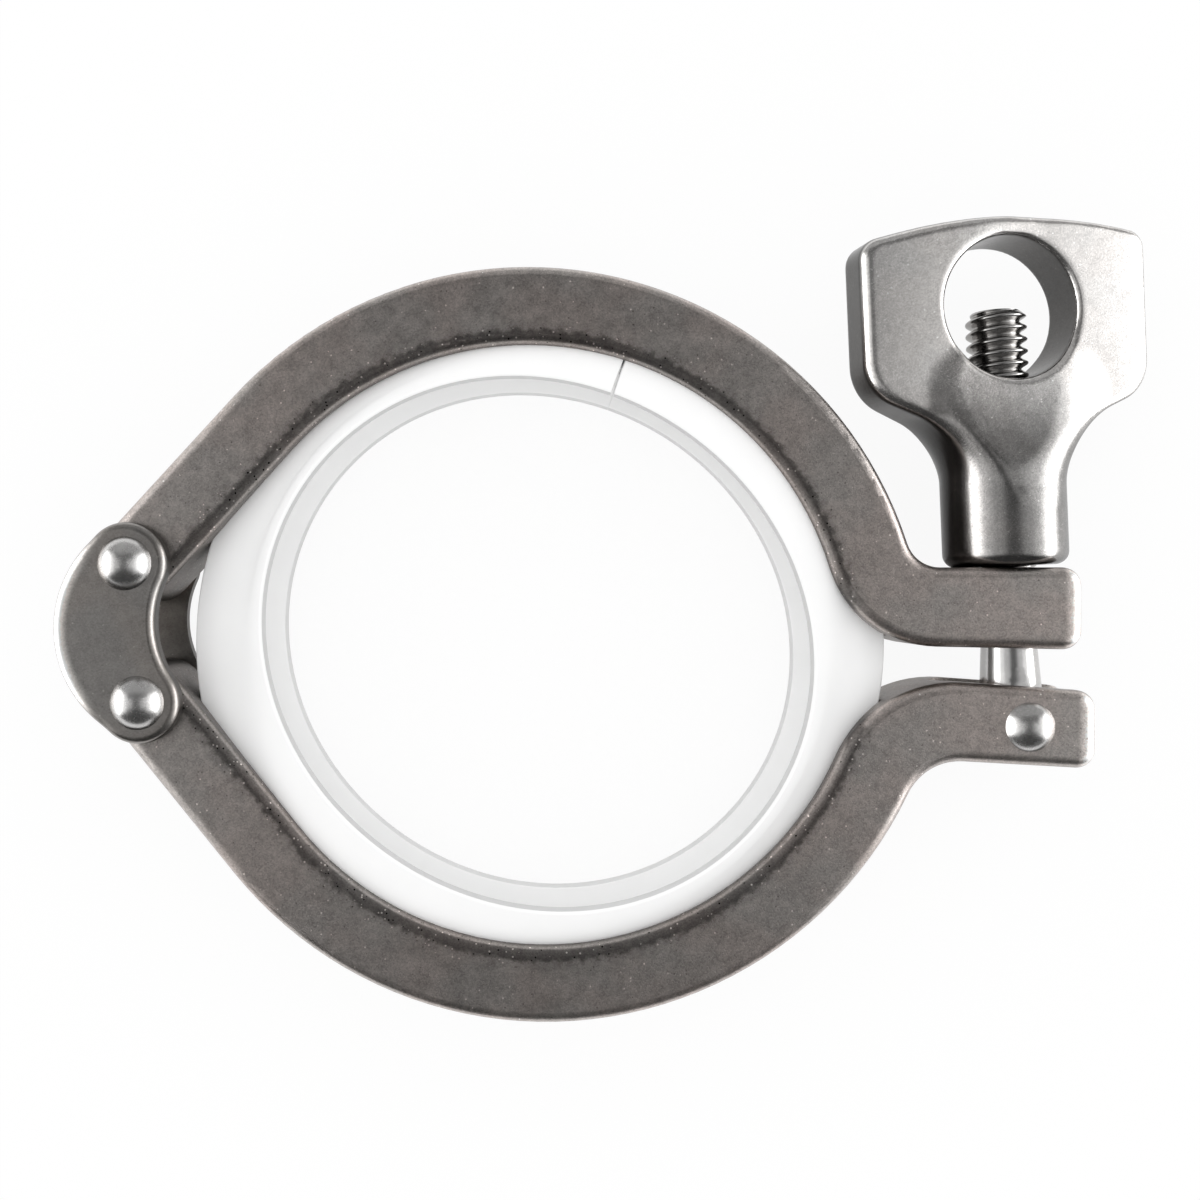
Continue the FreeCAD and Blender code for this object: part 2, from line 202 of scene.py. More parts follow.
def grey(value):
    return (value, value, value, 1.0)


# World: the directions are cosines, x to the right and y to the top of the picture
# Matt surfaces get even light, a little more of it from the top
AMBIENT = 1.06
AMBIENT_LEAN = 0.13
# Gloss shows a room: dark overhead and lighter aside, then a dip, the back and the dark front
ROOM_OVERHEAD = 0.16
ROOM_ASIDE = 0.70
ROOM_DIP = 0.16
ROOM_BACK = 0.42
ROOM_FRONT = 0.07
ASIDE_FROM = (0.08, 0.44)
DIP_FROM = (0.22, 0.34)
BACK_FROM = (0.56, 0.70)
FRONT_FROM = (-0.20, -0.58)
# A white panel stands at either side of the room, brightest at its foot
PANEL_HIGH = 1.2
PANEL_LOW = 4.6
PANEL_FROM = (0.52, 0.70)
PANEL_FOOT = (0.78, 0.91)
PANEL_END = (0.42, 0.62)


def make_world():
    """Even soft light for matt surfaces, a grey room with white panels for gloss, white for the camera."""
    world = bpy.data.worlds.new("studio")
    bpy.context.scene.world = world
    world.use_nodes = True
    world.cycles.sampling_method = "NONE"
    n = Nodes(world.node_tree)
    x, y, _ = n.split(n.add("ShaderNodeTexCoord").outputs["Generated"])
    aside = n.math("ABSOLUTE", x)
    panel = n.times(n.ramp(aside, *PANEL_FROM), n.ramp(n.math("ABSOLUTE", y), *PANEL_END, 1.0, 0.0))
    overhead = n.ramp(aside, *ASIDE_FROM, ROOM_OVERHEAD, ROOM_ASIDE)
    dip = n.ramp(y, *DIP_FROM, overhead, ROOM_DIP)
    back = n.ramp(y, *BACK_FROM, dip, ROOM_BACK)
    room = n.ramp(y, *FRONT_FROM, back, ROOM_FRONT)
    strength = n.ramp(aside, *PANEL_FOOT, PANEL_HIGH, PANEL_LOW)
    gloss = n.math("ADD", n.times(panel, n.minus(strength, room)), room)
    soft = n.scaled(y, AMBIENT_LEAN, AMBIENT)
    ray = n.add("ShaderNodeLightPath").outputs
    lit = n.mix(ray["Is Glossy Ray"], soft, gloss)
    seen = n.mix(ray["Is Camera Ray"], lit, grey(1.0))
    n.finish(n.shader("ShaderNodeBackground", {"Color": seen}), "ShaderNodeOutputWorld")


# Floor: the glow is the share of plain white that the camera sees, and the rest shows the shadow
FLOOR_REACH_METRES = 3.0
FLOOR_TONE = 0.95
FLOOR_GLOW = 0.92
FLOOR_GLOSS_GLOW = 0.45


def make_floor(height):
    reach = FLOOR_REACH_METRES
    corners = [(-reach, -reach, 0), (reach, -reach, 0), (reach, reach, 0), (-reach, reach, 0)]
    mesh = bpy.data.meshes.new("floor")
    mesh.from_pydata(corners, [], [(0, 1, 2, 3)])
    floor = bpy.data.objects.new("floor", mesh)
    floor.location = (0, 0, height)
    bpy.context.scene.collection.objects.link(floor)
    material, n = new_material("floor")
    ray = n.add("ShaderNodeLightPath").outputs
    through = n.math("MAXIMUM", ray["Is Glossy Ray"], ray["Is Transmission Ray"])
    seen = n.math("MAXIMUM", n.times(ray["Is Camera Ray"], FLOOR_GLOW), n.times(through, FLOOR_GLOSS_GLOW))
    mix = n.add("ShaderNodeMixShader")
    n.put(mix.inputs[0], seen)
    n.put(mix.inputs[1], n.shader("ShaderNodeBsdfDiffuse", {"Color": grey(FLOOR_TONE)}))
    n.put(mix.inputs[2], n.shader("ShaderNodeEmission", {"Color": grey(1.0)}))
    n.finish(mix.outputs[0])
    mesh.materials.append(material)


# Metal: noise and cell scales are per metre, tones are factors of the base colour
DRIFT_SCALE = 95.0
CLOUD_SCALE = 420.0
PATCH_SCALE = 900.0
GRAIN_SCALE = 5600.0
SPOT_SCALE = 2300.0
DRIFT_FROM = (0.38, 0.62)
NOISE_FROM = (0.3, 0.7)
CLOUD = 0.05
PATCH = 0.4
GRAIN = 2.2
# Painted glints as points of brighter colour, and pits that stay dark, more of both in patches and in the
# rim's painted shade
DOT_FROM = (0.34, 0.20)
CROWD_FROM = (0.45, 0.65)
CROWD = 0.05
CROWD_IN_BAND = 0.10
GLINT_ABOVE = 0.985
DARK_ABOVE = 0.97
PIT = -0.35
# Rounded edges and upright walls are told by how level a face lies: edges get a painted highlight, walls
# painted shade
EDGE_FROM = (0.965, 0.992)
SIDE_FROM = (0.15, 0.60)
# Painted shade in a band along the inner rim of a casting, frayed outwards, with a painted shadow line, its
# darkest, next to the edge
BAND_FULL = 1.5
BAND_GONE = 3.4
BAND_FRAY = 1.6
RIM_SHADE_DARK = 0.28
RIM_SHADOW_LINE_DARK = 0.55
BAND_ROUGHER = 0.06
LINE_FROM = (0.25, 0.50)
LINE_TO = (1.4, 2.2)
# The painted highlight on a far end's edge: how far round the end it reaches, how wide it is, and how level
# it lies
HIGHLIGHT_SPAN = (0.62, 0.86)
HIGHLIGHT_WIDTH = 2.1
HIGHLIGHT_FULL = 0.6
HIGHLIGHT_LEVEL = (0.40, 0.75)
ROUGHNESS_SPREAD = 0.08
METAL_BUMP = 2.0
METAL_BUMP_DEPTH = 0.02
SPOT_BUMP = 0.4


def painted_rim_shade(n, place, patches, band):
    """Share of the painted shade along a casting's inner rim, and of its painted shadow line."""
    centre_x, centre_y, radius, turn = band
    across, upward, reach = n.from_centre(place, centre_x, centre_y)
    cosine, sine = math.cos(math.radians(turn)), math.sin(math.radians(turn))
    hand = math.copysign(1.0, sine)
    outward = n.scaled(across, cosine, n.times(upward, sine))
    onward = n.scaled(across, hand * sine, n.times(upward, -hand * cosine))
    straight = n.math("LESS_THAN", onward, 0.0)
    reach = n.scaled(n.minus(outward, reach), straight, reach)
    depth = n.minus(reach, radius * MM)
    frayed = n.scaled(n.minus(patches, 0.5), BAND_FRAY * MM, depth)
    rim = n.ramp(frayed, BAND_FULL * MM, BAND_GONE * MM, 1.0, 0.0)
    near = n.ramp(depth, *(edge * MM for edge in LINE_FROM))
    far = n.ramp(frayed, *(edge * MM for edge in LINE_TO), 1.0, 0.0)
    return rim, n.times(near, far)


def highlight_gain(n, place, level, highlight_arc):
    """Gain of the tone that paints a highlight on the arc at a far end."""
    centre_x, centre_y, radius, facing, gain = highlight_arc
    across, _, reach = n.from_centre(place, centre_x, centre_y)
    end = n.ramp(n.times(across, facing), *(share * radius * MM for share in HIGHLIGHT_SPAN))
    end = n.times(end, n.ramp(reach, (radius - HIGHLIGHT_WIDTH) * MM, (radius - HIGHLIGHT_FULL) * MM))
    end = n.times(end, n.ramp(level, *HIGHLIGHT_LEVEL))
    return n.scaled(end, gain - 1.0, 1.0)


def metal(name, warm, cool, roughness, grain, sparkle, edge=1.0, side=1.0, side_from=SIDE_FROM,
          band=None, highlight_arc=None, stem=None):
    """Bare stainless steel: a tone that drifts between two colours, a fine grain, bright points as painted
    glints, dark pits.

    edge is the tone of rounded edges, a painted highlight, and side that of upright walls, painted shade.
    band is the inner rim of a casting, as (centre x, centre y, radius, angle at which it runs straight on to
    the hinge): the metal next to it gets painted shade and is rougher. highlight_arc is the arc at a far end
    that gets a painted highlight, as (centre x, centre y, radius, -1 for its left side and 1 for its right,
    gain).
    stem is painted shade on the foot, as (y up to which it is full, y where it is gone, tone).
    """
    material, n = new_material(name)
    where = n.own_place()
    place = n.split(where)
    level = n.level()
    drift = n.noise(where, DRIFT_SCALE, 2.0)
    clouds = n.noise(where, CLOUD_SCALE, 3.0)
    patches = n.noise(where, PATCH_SCALE, 2.0)
    grain_pick = n.cells(where, GRAIN_SCALE)[1][0]
    spot, (glint_pick, dark_pick, _) = n.cells(where, SPOT_SCALE)
    rim, line = painted_rim_shade(n, place, patches, band) if band else (0.0, 0.0)

    tone = n.ramp(clouds, *NOISE_FROM, 1.0 - CLOUD, 1.0 + CLOUD)
    tone = n.math("ADD", tone, n.ramp(patches, *NOISE_FROM, -PATCH * grain, PATCH * grain))
    tone = n.scaled(n.minus(grain_pick, 0.5), GRAIN * grain, tone)
    # Painted shade along the inner rim, and a painted shadow line next to its edge
    tone = n.times(tone, n.scaled(rim, -RIM_SHADE_DARK, 1.0))
    tone = n.times(tone, n.scaled(line, -RIM_SHADOW_LINE_DARK, 1.0))
    # Bright points are painted glints; the dark ones are pits
    dot = n.ramp(spot, *DOT_FROM)
    crowd = n.scaled(rim, CROWD_IN_BAND, n.ramp(patches, *CROWD_FROM, 0.0, CROWD))
    bright = n.math("GREATER_THAN", glint_pick, n.minus(GLINT_ABOVE, crowd))
    dark = n.math("GREATER_THAN", dark_pick, n.minus(DARK_ABOVE, crowd))
    tone = n.scaled(n.times(dot, bright), sparkle, tone)
    tone = n.scaled(n.times(dot, dark), PIT * sparkle, tone)
    # Painted highlight on rounded edges (edge) and painted shade on upright walls (side)
    tone = n.times(tone, n.ramp(level, *side_from, side, n.ramp(level, *EDGE_FROM, edge, 1.0)))
    # Painted highlight on the arc at a far end
    if highlight_arc:
        tone = n.times(tone, highlight_gain(n, place, level, highlight_arc))
    # Painted shade on the lower part, by height
    if stem:
        low, high, share = stem
        tone = n.times(tone, n.ramp(place[1], low * MM, high * MM, share, 1.0))

    low_rough = roughness * (1.0 - ROUGHNESS_SPREAD)
    high_rough = roughness * (1.0 + ROUGHNESS_SPREAD)
    relief = n.scaled(spot, SPOT_BUMP, grain_pick)
    n.finish(n.shader("ShaderNodeBsdfPrincipled", {
        "Base Color": n.scale_colour(n.mix(n.ramp(drift, *DRIFT_FROM), (*warm, 1.0), (*cool, 1.0)), tone),
        "Metallic": 1.0,
        "Roughness": n.scaled(rim, BAND_ROUGHER, n.ramp(clouds, *NOISE_FROM, low_rough, high_rough)),
        "Normal": n.bump(relief, min(1.0, METAL_BUMP * grain), METAL_BUMP_DEPTH),
    }))
    return material


# Plastic: a faint mottling, and painted shade on the walls of the bore, deeper towards the front
MOTTLE_SCALE = 220.0
MOTTLE_LOW = 0.985
BORE_ENDS = (-8.0, 6.0)
BORE_LEVEL = (0.1, 0.5)
PLASTIC_BUMP = 0.08
PLASTIC_BUMP_DEPTH = 0.05
PLASTIC_SHINE = 0.2


def plastic(name, base, roughness, bore):
    """Matt white fluoropolymer with a very soft grain. bore has the tones of the painted shade on its wall at
    back and front.
    """
    material, n = new_material(name)
    where = n.own_place()
    mottle = n.noise(where, MOTTLE_SCALE, 4.0)
    # Painted shade on the bore's wall, from its tone at the back to that at the front
    wall = n.ramp(n.split(where)[2], *(end * MM for end in BORE_ENDS), *bore)
    wall = n.ramp(n.level(), *BORE_LEVEL, wall, 1.0)
    tone = n.times(n.ramp(mottle, *NOISE_FROM, MOTTLE_LOW, 1.0), wall)
    n.finish(n.shader("ShaderNodeBsdfPrincipled", {
        "Base Color": n.scale_colour(base, tone),
        "Roughness": roughness,
        "Specular IOR Level": PLASTIC_SHINE,
        "Normal": n.bump(mottle, PLASTIC_BUMP, PLASTIC_BUMP_DEPTH),
    }))
    return material


def wear(item, material):
    """Gives a whole piece one material and smooth shading."""
    mesh = item.data
    mesh.materials.clear()
    mesh.materials.append(material)
    mesh.polygons.foreach_set("use_smooth", [True] * len(mesh.polygons))
    mesh.polygons.foreach_set("material_index", [0] * len(mesh.polygons))


WELD_METRES = 1e-7


def new_piece(name, vertices, faces):
    """Mesh object from points in millimetres."""
    mesh = bpy.data.meshes.new(name)
    mesh.from_pydata([(x * MM, y * MM, z * MM) for x, y, z in vertices], [], faces)
    mesh.update()
    item = bpy.data.objects.new(name, mesh)
    bpy.context.scene.collection.objects.link(item)
    return item


def finish_mesh(item, sharp_degrees=180.0):
    """Outward faces, smooth shading and sharp edges above an angle."""
    mesh = item.data
    work = bmesh.new()
    work.from_mesh(mesh)
    bmesh.ops.remove_doubles(work, verts=work.verts, dist=WELD_METRES)
    bmesh.ops.recalc_face_normals(work, faces=work.faces)
    work.to_mesh(mesh)
    work.free()
    mesh.polygons.foreach_set("use_smooth", [True] * len(mesh.polygons))
    if sharp_degrees < 180.0:
        mesh.set_sharp_from_angle(angle=math.radians(sharp_degrees))
    mesh.update()


def stand_in(item, node, body, material):
    """Lets a detailed piece take a solid's place."""
    item.data.materials.clear()
    item.data.materials.append(material)
    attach(item, body)
    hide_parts(node)


def round_corners(corners, steps):
    """Closed outline through (x, y, radius) corners, each rounded by an arc of some steps."""
    outline = []
    count = len(corners)
    for index, (x, y, radius) in enumerate(corners):
        corner = np.array((x, y))
        if radius == 0:
            outline.append(corner)
            continue
        before = np.array(corners[index - 1][:2]) - corner
        after = np.array(corners[(index + 1) % count][:2]) - corner
        before /= np.linalg.norm(before)
        after /= np.linalg.norm(after)
        half = math.acos(float(np.clip(before @ after, -1, 1))) / 2
        inward = before + after
        inward /= np.linalg.norm(inward)
        centre = corner + inward * radius / math.sin(half)
        start = corner + before * radius / math.tan(half) - centre
        end = corner + after * radius / math.tan(half) - centre
        turn = math.atan2(start[0] * end[1] - start[1] * end[0], start @ end)
        for step in range(steps + 1):
            angle = turn * step / steps
            cosine, sine = math.cos(angle), math.sin(angle)
            outline.append(centre + np.array((start[0] * cosine - start[1] * sine,
                                              start[0] * sine + start[1] * cosine)))
    return outline


# Swivel ring: the front half of its section as (radius, height, rounding), and the back half mirrored
RING_OUTER_R = 45.5
RING_BORE_R = 35.0
RING_FRONT = [
    (RING_OUTER_R, 3.2, 0.4), (40.6, 4.98, 14.0), (37.8, 6.8, 20.0), (35.3, 8.2, 0.3),
    (RING_BORE_R, 8.0, 0.1), (RING_BORE_R, 5.1, 0.25), (39.0, 3.644, 0.5),
]
RING_SECTION = RING_FRONT + [(radius, -height, rounding) for radius, height, rounding in reversed(RING_FRONT)]
RING_STEPS = 360
RING_CORNER_STEPS = 5
RING_SHARP = 40.0
# The lips are drawn oval, long along one direction, shifted and shrunk; the flanks fade back to round
OVAL_ALONG = 145.0
OVAL_FRONT = 1.6
OVAL_BACK = 1.3
SHIFT_FRONT = -0.26
SHIFT_BACK = -0.10
LIP_RISE = 0.08
SHRINK_FRONT = 0.05
SHRINK_BACK = 0.50
OVAL_FADE = (39.3, 35.4)
# From the back values to the front ones over this height
FRONT_BLEND = 10.0
# The split's half width: at the rim, at the bore, and at the back
SPLIT_AT = 73.4
SPLIT_OUT = 0.08
SPLIT_IN = 0.24
SPLIT_BACK = 0.02


def between(share, start, end):
    return start + (end - start) * share


def make_ring():
    section = round_corners(RING_SECTION, RING_CORNER_STEPS)
    count = len(section)
    vertices = []
    for step in range(RING_STEPS + 1):
        for radius, height in section:
            depth = (RING_OUTER_R - radius) / (RING_OUTER_R - RING_BORE_R)
            front = min(1.0, max(0.0, 0.5 + height / FRONT_BLEND))
            half = between(front, SPLIT_BACK, between(depth, SPLIT_OUT, SPLIT_IN)) / radius
            angle = math.radians(SPLIT_AT) + half + (2 * math.pi - 2 * half) * step / RING_STEPS
            give = min(1.0, max(0.0, (OVAL_FADE[0] - radius) / (OVAL_FADE[0] - OVAL_FADE[1])))
            give = give * give * (3 - 2 * give)
            oval = between(front, OVAL_BACK, OVAL_FRONT) * math.cos(2 * (angle - math.radians(OVAL_ALONG)))
            reach = radius + give * (oval - between(front, SHRINK_BACK, SHRINK_FRONT))
            vertices.append((reach * math.cos(angle) + give * between(front, SHIFT_BACK, SHIFT_FRONT),
                             reach * math.sin(angle) + give * LIP_RISE, height))
    faces = []
    for step in range(RING_STEPS):
        row = step * count
        for index in range(count):
            after = (index + 1) % count
            faces.append((row + index, row + after, row + count + after, row + count + index))
    faces.append(tuple(range(count)))
    faces.append(tuple(RING_STEPS * count + index for index in reversed(range(count))))
    ring = new_piece("swivel_ring_body", vertices, faces)
    finish_mesh(ring, RING_SHARP)
    return ring


# Swing bolt, drawn along +Y from the pin: its axis leans, and the thread is cut up to its tip
PIN = (63.4, -10.7)
BOLT_LEAN = 2.3
BOLT_LENGTH = 55.0
THREAD_START = 14.0
THREAD_PITCH = 1.5875
CREST_R = 3.97
ROOT_R = 3.08
RUN_IN_TURNS = 1.5
RUN_IN_SHARE = 0.6
TIP_CHAMFER = 0.8
TIP_SLOPE = 1.1
THREAD_SIDES = 72
# One pitch of the thread as (share of the pitch, share of its depth)
THREAD_PROFILE = (
    (0.0, 0.0), (0.09, 0.22), (0.25, 0.72), (0.36, 0.97), (0.42, 1.0), (0.48, 1.0), (0.54, 0.97),
    (0.65, 0.72), (0.81, 0.22), (0.90, 0.0), (0.95, -0.03),
)
THREAD_SHARP = 60.0
SHANK_SHARP = 35.0
SHANK_OVERLAP = 0.6
TO_PIN = Matrix.Translation((PIN[0] * MM, PIN[1] * MM, 0.0))
ON_BOLT = TO_PIN @ Matrix.Rotation(math.radians(BOLT_LEAN), 4, "Z")


def along_bolt(item):
    """Places a mesh drawn along +Y from the pin on the leaning bolt."""
    item.data.transform(ON_BOLT)
    item.data.update()


def thread_radius(height, share):
    """Radius of the thread's surface, run in at its start and chamfered at its tip."""
    fade = min(1.0, max(0.0, (height - THREAD_START) / (RUN_IN_TURNS * THREAD_PITCH)))
    radius = ROOT_R + (CREST_R - ROOT_R) * (share * fade + RUN_IN_SHARE * (1.0 - fade))
    limit = CREST_R - max(0.0, height - (BOLT_LENGTH - TIP_CHAMFER)) * TIP_SLOPE
    return min(radius, limit)


def make_thread():
    """Screw surface on a grid that follows the helix, longer than the thread at both ends."""
    per_turn = len(THREAD_PROFILE)
    turns = int((BOLT_LENGTH - THREAD_START) / THREAD_PITCH) + 4
    rows = turns * per_turn
    vertices = []
    for row in range(rows + per_turn + 1):
        place, share = THREAD_PROFILE[row % per_turn]
        base = THREAD_START - 2 * THREAD_PITCH + (row // per_turn + place) * THREAD_PITCH
        for side in range(THREAD_SIDES):
            angle = 2 * math.pi * side / THREAD_SIDES
            height = base + THREAD_PITCH * side / THREAD_SIDES
            radius = thread_radius(height, share)
            vertices.append((radius * math.cos(angle), height, -radius * math.sin(angle)))
    faces = []
    for row in range(rows):
        for side in range(THREAD_SIDES):
            here = row * THREAD_SIDES + side
            above = here + THREAD_SIDES
            if side < THREAD_SIDES - 1:
                faces.append((here, here + 1, above + 1, above))
            else:
                seam = (row + per_turn) * THREAD_SIDES
                faces.append((here, seam, seam + THREAD_SIDES, above))
    return new_piece("swing_bolt_body", vertices, faces)


def trim(work, height, keep_above):
    """Cuts a mesh drawn along Y at a height, drops one side and closes the cut."""
    cut = bmesh.ops.bisect_plane(
        work, geom=work.verts[:] + work.edges[:] + work.faces[:], plane_co=(0, height * MM, 0),
        plane_no=(0, 1, 0), clear_inner=keep_above, clear_outer=not keep_above, dist=1e-9)
    rim = [part for part in cut["geom_cut"] if isinstance(part, bmesh.types.BMEdge)]
    bmesh.ops.holes_fill(work, edges=rim, sides=0)


def make_bolt():
    """The solid's own eye and shank below, a real screw thread above."""
    bolt = make_thread()
    work = bmesh.new()
    work.from_mesh(bolt.data)
    trim(work, BOLT_LENGTH, False)
    trim(work, THREAD_START, True)
    work.to_mesh(bolt.data)
    work.free()
    finish_mesh(bolt, THREAD_SHARP)
    along_bolt(bolt)

    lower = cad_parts["swing_bolt"].data.copy()
    lower.transform(ON_BOLT.inverted())
    work = bmesh.new()
    work.from_mesh(lower)
    bmesh.ops.remove_doubles(work, verts=work.verts, dist=WELD_METRES)
    trim(work, THREAD_START + SHANK_OVERLAP, False)
    shank = bpy.data.objects.new("bolt_shank_body", bpy.data.meshes.new("bolt_shank_body"))
    work.to_mesh(shank.data)
    work.free()
    bpy.data.meshes.remove(lower)
    bpy.context.scene.collection.objects.link(shank)
    finish_mesh(shank, SHANK_SHARP)
    along_bolt(shank)
    return bolt, shank


# Wing nut, drawn upright from its foot, before it is turned and set on the bolt
NUT_SEAT = 20.93
NUT_TURN = 9.5
NUT_BARREL_R = 8.15
NUT_BARREL_TOP = 25.0
NUT_BARREL_TOP_ROUND = 2.0
NUT_FOOT_ROUND = 1.8
NUT_HOLE = (0.3, 34.1)
NUT_HOLE_R = 9.45
NUT_BORE_R = 4.03
# Front outline as (x, y, rounding)
NUT_FRONT = [
    (1.0, 15.2, 0), (20.25, 23.3, 6.0), (20.35, 44.15, 2.6), (0.8, 47.75, 76.0), (-20.0, 42.9, 3.0),
    (-19.95, 23.2, 6.5), (-2.0, 14.69, 0),
]
NUT_CORNER_STEPS = 10
# The wings are thickest in the middle, and thin no further than this multiple of the way to their tips
NUT_MID_HALF = 5.05
NUT_TIP_HALF = 3.45
NUT_TIP_AT = 20.0
NUT_THIN_LIMIT = 1.2
# Fillet between wings and barrel, a little different on its two sides
NUT_FLARE = 6.0
NUT_FLARE_LEAN = -0.8
# The planed faces rise from the wings to the barrel in a wedge
WEDGE_FROM = 10.2
WEDGE_SPAN = 17.0
WEDGE_CURVE = 1.5
WEDGE_CLEAR = 0.1
WEDGE_FOOT_SLOPE = 0.4
CREASE_LEFT = 0.6
CREASE_RIGHT = 2.5
CREASE_FROM = (-5.0, 6.0)
NUT_EDGE_LEFT = 1.3
NUT_EDGE_RIGHT = 1.0
NUT_EDGE_FROM = (-8.0, 12.0)
HOLE_EDGE_ROUND = 1.0
BORE_EDGE_ROUND = 0.35
# Box and step of the grid on which the nut's surface is drawn
NUT_LOW = (-22.0, -1.0, -9.4)
NUT_HIGH = (22.0, 49.0, 9.4)
NUT_STEP = 0.28


def meet_round(first, second, radius):
    """Intersection of two distance fields with a rounded edge."""
    corner = np.hypot(np.maximum(first + radius, 0), np.maximum(second + radius, 0))
    return np.minimum(np.maximum(first, second), -radius) + corner


def join_round(first, second, radius):
    """Union of two distance fields with a fillet."""
    corner = np.hypot(np.maximum(radius - first, 0), np.maximum(radius - second, 0))
    return np.maximum(np.minimum(first, second), radius) - corner


def smooth_share(value, low, high):
    share = np.clip((value - low) / (high - low), 0, 1)
    return share * share * (3 - 2 * share)


def outline_distance(x, y, outline):
    """Signed distance to a closed outline, negative inside."""
    nearest = np.full(x.shape, np.inf)
    inside = np.zeros(x.shape, bool)
    for index, start in enumerate(outline):
        end = outline[(index + 1) % len(outline)]
        way = end - start
        share = np.clip(((x - start[0]) * way[0] + (y - start[1]) * way[1]) / max(way @ way, 1e-12), 0, 1)
        nearest = np.minimum(nearest, np.hypot(x - start[0] - share * way[0], y - start[1] - share * way[1]))
        if start[1] != end[1]:
            crossing = (start[1] > y) != (end[1] > y)
            inside ^= crossing & (x < start[0] + (y - start[1]) / (end[1] - start[1]) * way[0])
    return np.where(inside, -nearest, nearest)


def nut_field(x, y, z):
    """Distance field of the nut: wings flare into the barrel, the faces are planed, hole and bore are cut."""
    front = round_corners(NUT_FRONT, NUT_CORNER_STEPS)
    flat = outline_distance(x[:, :, 0], y[:, :, 0], front)[:, :, None]
    thin = np.minimum((x / NUT_TIP_AT) ** 2, NUT_THIN_LIMIT)
    thick = NUT_TIP_HALF + (NUT_MID_HALF - NUT_TIP_HALF) * (1 - thin)
    edge = between(smooth_share(x, *NUT_EDGE_FROM), NUT_EDGE_LEFT, NUT_EDGE_RIGHT)
    wings = meet_round(flat, np.abs(z) - thick, edge)
    barrel = np.hypot(x, z) - NUT_BARREL_R
    barrel = meet_round(barrel, -y, NUT_FOOT_ROUND)
    barrel = meet_round(barrel, y - NUT_BARREL_TOP, NUT_BARREL_TOP_ROUND)
    lean = np.clip(x / NUT_BARREL_R, -1, 1)
    body = join_round(barrel, wings, NUT_FLARE - NUT_FLARE_LEAN * lean)
    share = np.clip((y - WEDGE_FROM) / WEDGE_SPAN, 0, 1)
    rise = (NUT_BARREL_R + WEDGE_CLEAR - NUT_MID_HALF) * (1 - share) ** WEDGE_CURVE
    rise += np.maximum(WEDGE_FROM - y, 0) * WEDGE_FOOT_SLOPE
    crease = between(smooth_share(x, *CREASE_FROM), CREASE_LEFT, CREASE_RIGHT)
    body = meet_round(body, np.abs(z) - NUT_MID_HALF - rise, crease)
    hole = np.hypot(x - NUT_HOLE[0], y - NUT_HOLE[1]) - NUT_HOLE_R
    body = meet_round(body, -hole, HOLE_EDGE_ROUND)
    bore = np.maximum(np.hypot(x, z) - NUT_BORE_R, y - NUT_HOLE[1])
    return meet_round(body, -bore, BORE_EDGE_ROUND)


def surface_net(field):
    """Quads over the zero level of a field on a grid, in grid units."""
    inside = field < 0
    cells = tuple(size - 1 for size in field.shape)
    total = np.zeros(cells + (3,))
    count = np.zeros(cells)
    crossings = []
    for axis in range(3):
        near = [slice(None)] * 3
        far = [slice(None)] * 3
        near[axis] = slice(0, -1)
        far[axis] = slice(1, None)
        first, second = field[tuple(near)], field[tuple(far)]
        cross = inside[tuple(near)] != inside[tuple(far)]
        share = np.where(cross, first / np.where(cross, first - second, 1.0), 0.0)
        crossings.append((cross, inside[tuple(near)]))
        others = [other for other in range(3) if other != axis]
        for low in (0, 1):
            for high in (0, 1):
                pick = [slice(None)] * 3
                pick[others[0]] = slice(low, low + cells[others[0]])
                pick[others[1]] = slice(high, high + cells[others[1]])
                hit = cross[tuple(pick)]
                count += hit
                total[..., axis] += share[tuple(pick)]
                total[..., others[0]] += hit * low
                total[..., others[1]] += hit * high
    used = count > 0
    number = np.full(cells, -1)
    number[used] = np.arange(used.sum())
    places = np.argwhere(used) + total[used] / count[used][:, None]
    quads = []
    for axis, (cross, filled) in enumerate(crossings):
        others = [other for other in range(3) if other != axis]
        spots = np.argwhere(cross)
        kept = np.all((spots[:, others] > 0) & (spots[:, others] < np.array(cells)[others]), axis=1)
        spots = spots[kept]
        corners = []
        for low, high in ((0, 0), (1, 0), (1, 1), (0, 1)):
            cell = spots.copy()
            cell[:, others[0]] -= low
            cell[:, others[1]] -= high
            corners.append(number[tuple(cell.T)])
        quad = np.stack(corners, axis=1)
        flip = filled[tuple(spots.T)] == (axis != 1)
        quad[flip] = quad[flip][:, ::-1]
        quads.append(quad)
    return places, np.concatenate(quads)


def make_nut():
    axes = [np.arange(low, high, NUT_STEP) for low, high in zip(NUT_LOW, NUT_HIGH)]
    x, y, z = np.meshgrid(*axes, indexing="ij")
    places, quads = surface_net(nut_field(x, y, z))
    places = places * NUT_STEP + np.array(NUT_LOW)
    nut = new_piece("wing_nut_body", places.tolist(), quads.tolist())
    finish_mesh(nut)
    seat = Matrix.Translation((0, NUT_SEAT * MM, 0))
    nut.data.transform(seat @ Matrix.Rotation(math.radians(NUT_TURN), 4, "Y"))
    along_bolt(nut)
    return nut
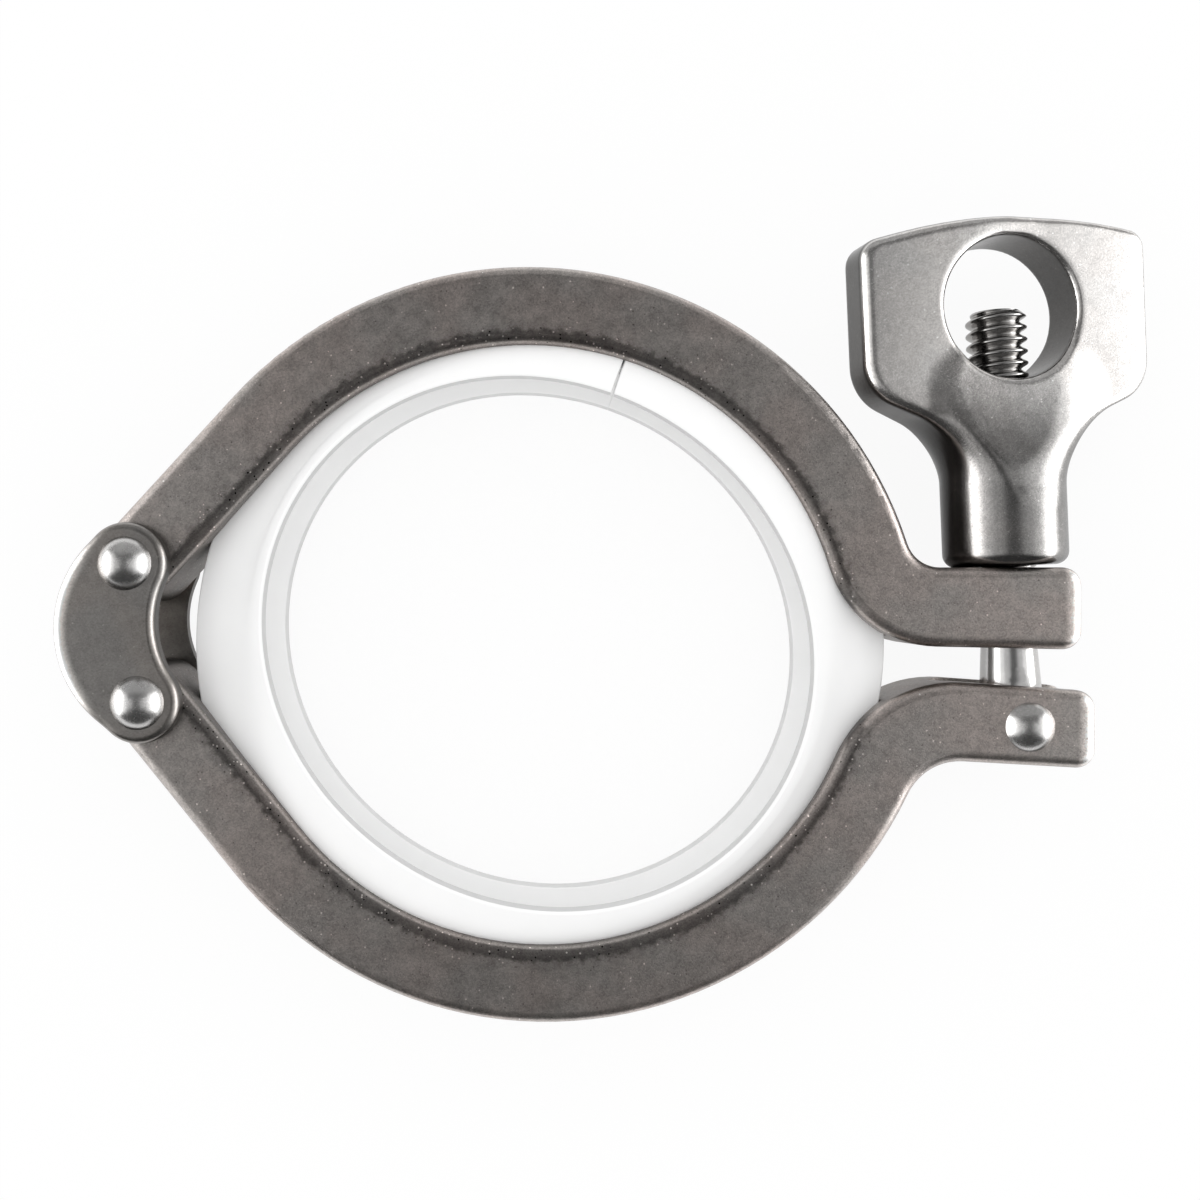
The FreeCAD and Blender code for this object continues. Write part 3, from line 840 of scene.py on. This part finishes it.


# Inner rims of the castings, where shade is painted, then the ends of the links and of the two jaws, where
# highlights are painted, as metal() takes them
UPPER_RIM = (-1.8, -2.5, 41.4, 137.5)
LOWER_RIM = (0.8, 2.3, 41.5, -140.7)
LINK_ARC = (-46.8, 2.1, 15.5, -1, 4.2)
UPPER_TIP = (-430.2, 0.0, 500.0, 1, 2.4)
LOWER_TIP = (-428.4, 0.0, 500.0, 1, 2.4)

# Castings: edge paints a highlight on rounded edges and side paints shade on upright walls
CAST = dict(warm=(0.46, 0.41, 0.385), cool=(0.43, 0.40, 0.38), roughness=0.34, grain=0.17, sparkle=1.1,
            edge=1.2, side=0.7)
upper_cast = metal("cast_steel_upper", **CAST, band=UPPER_RIM, highlight_arc=UPPER_TIP)
lower_cast = metal("cast_steel_lower", **CAST, band=LOWER_RIM, highlight_arc=LOWER_TIP)
# Links: side paints shade on upright walls, and LINK_ARC a highlight on the arc at their left end
plate = metal("plate_steel", (0.325, 0.303, 0.285), (0.31, 0.297, 0.285), 0.30, grain=0.10, sparkle=0.5,
              side=0.5, highlight_arc=LINK_ARC)
# Nut: stem paints shade on its lower part, full up to y 25 mm and gone at 35 mm, and side paints strong shade
# on upright walls
nut_steel = metal("nut_steel", (0.74, 0.715, 0.695), (0.72, 0.705, 0.69), 0.21, grain=0.09, sparkle=0.5,
                  side=0.15, side_from=(0.30, 0.72), stem=(25.0, 35.0, 0.42))
# Domes: side paints shade on their steep flanks
dome_steel = metal("dome_steel", (0.62, 0.61, 0.60), (0.61, 0.605, 0.60), 0.27, grain=0.06, sparkle=0.3,
                   side=0.3)
shank_steel = metal("shank_steel", (0.60, 0.59, 0.58), (0.58, 0.575, 0.57), 0.15, grain=0.02, sparkle=0.1)
thread_steel = metal("thread_steel", (0.44, 0.43, 0.42), (0.42, 0.415, 0.41), 0.18, grain=0.03, sparkle=0.2)
# bore: tones of the painted shade on the bore's wall, at back and front
white = plastic("white_plastic", (0.97, 0.97, 0.968), 0.65, bore=(0.84, 0.73))

looks = {
    "upper_half": upper_cast, "lower_half": lower_cast, "front_link": plate, "back_link": plate,
    "upper_rivet": dome_steel, "lower_rivet": dome_steel, "bolt_pin": dome_steel,
    "swing_bolt": shank_steel, "wing_nut": nut_steel, "swivel_ring": white,
}
for name, material in looks.items():
    wear(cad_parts[name], material)

stand_in(make_ring(), "swivel_ring", "ring", white)
bolt_thread, bolt_shank = make_bolt()
stand_in(bolt_thread, "swing_bolt", "bolt", thread_steel)
stand_in(bolt_shank, "swing_bolt", "bolt", shank_steel)
stand_in(make_nut(), "wing_nut", "nut", nut_steel)

make_camera()
make_world()
make_floor(cad_low.z)

bpy.context.scene.view_settings.view_transform = "Standard"
